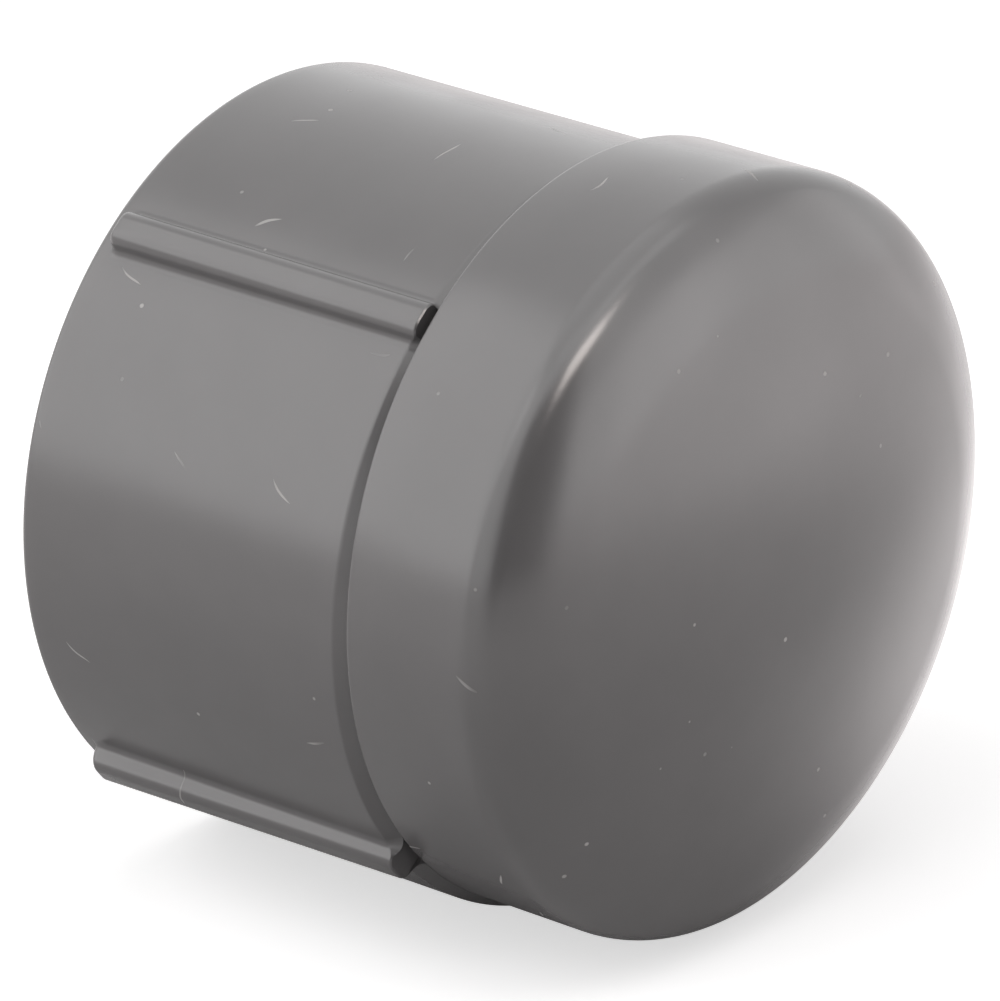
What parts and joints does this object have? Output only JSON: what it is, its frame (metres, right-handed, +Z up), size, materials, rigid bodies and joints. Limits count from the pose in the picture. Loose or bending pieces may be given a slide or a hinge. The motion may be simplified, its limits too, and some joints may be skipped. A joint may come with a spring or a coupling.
{
  "type": "pipe cap",
  "caption": "Closed-end pipe cap: a ribbed skirt with an internal taper pipe thread, closed by a shallow domed end. It screws onto a pipe end to seal it.",
  "frame": {"origin": "centre of the open mouth, on the plane of the rim", "axes": "+X along the cap's axis from the mouth towards the dome, +Z up with the cap lying on its side as in the picture"},
  "size_m": [0.0264, 0.03, 0.0306],
  "materials": {
    "grey_plastic": "semi-gloss moulded rigid plastic, mid grey"
  },
  "bodies": {
    "root": {"threaded_skirt": "grey_plastic", "domed_end": "grey_plastic"}
  },
  "joints": []
}
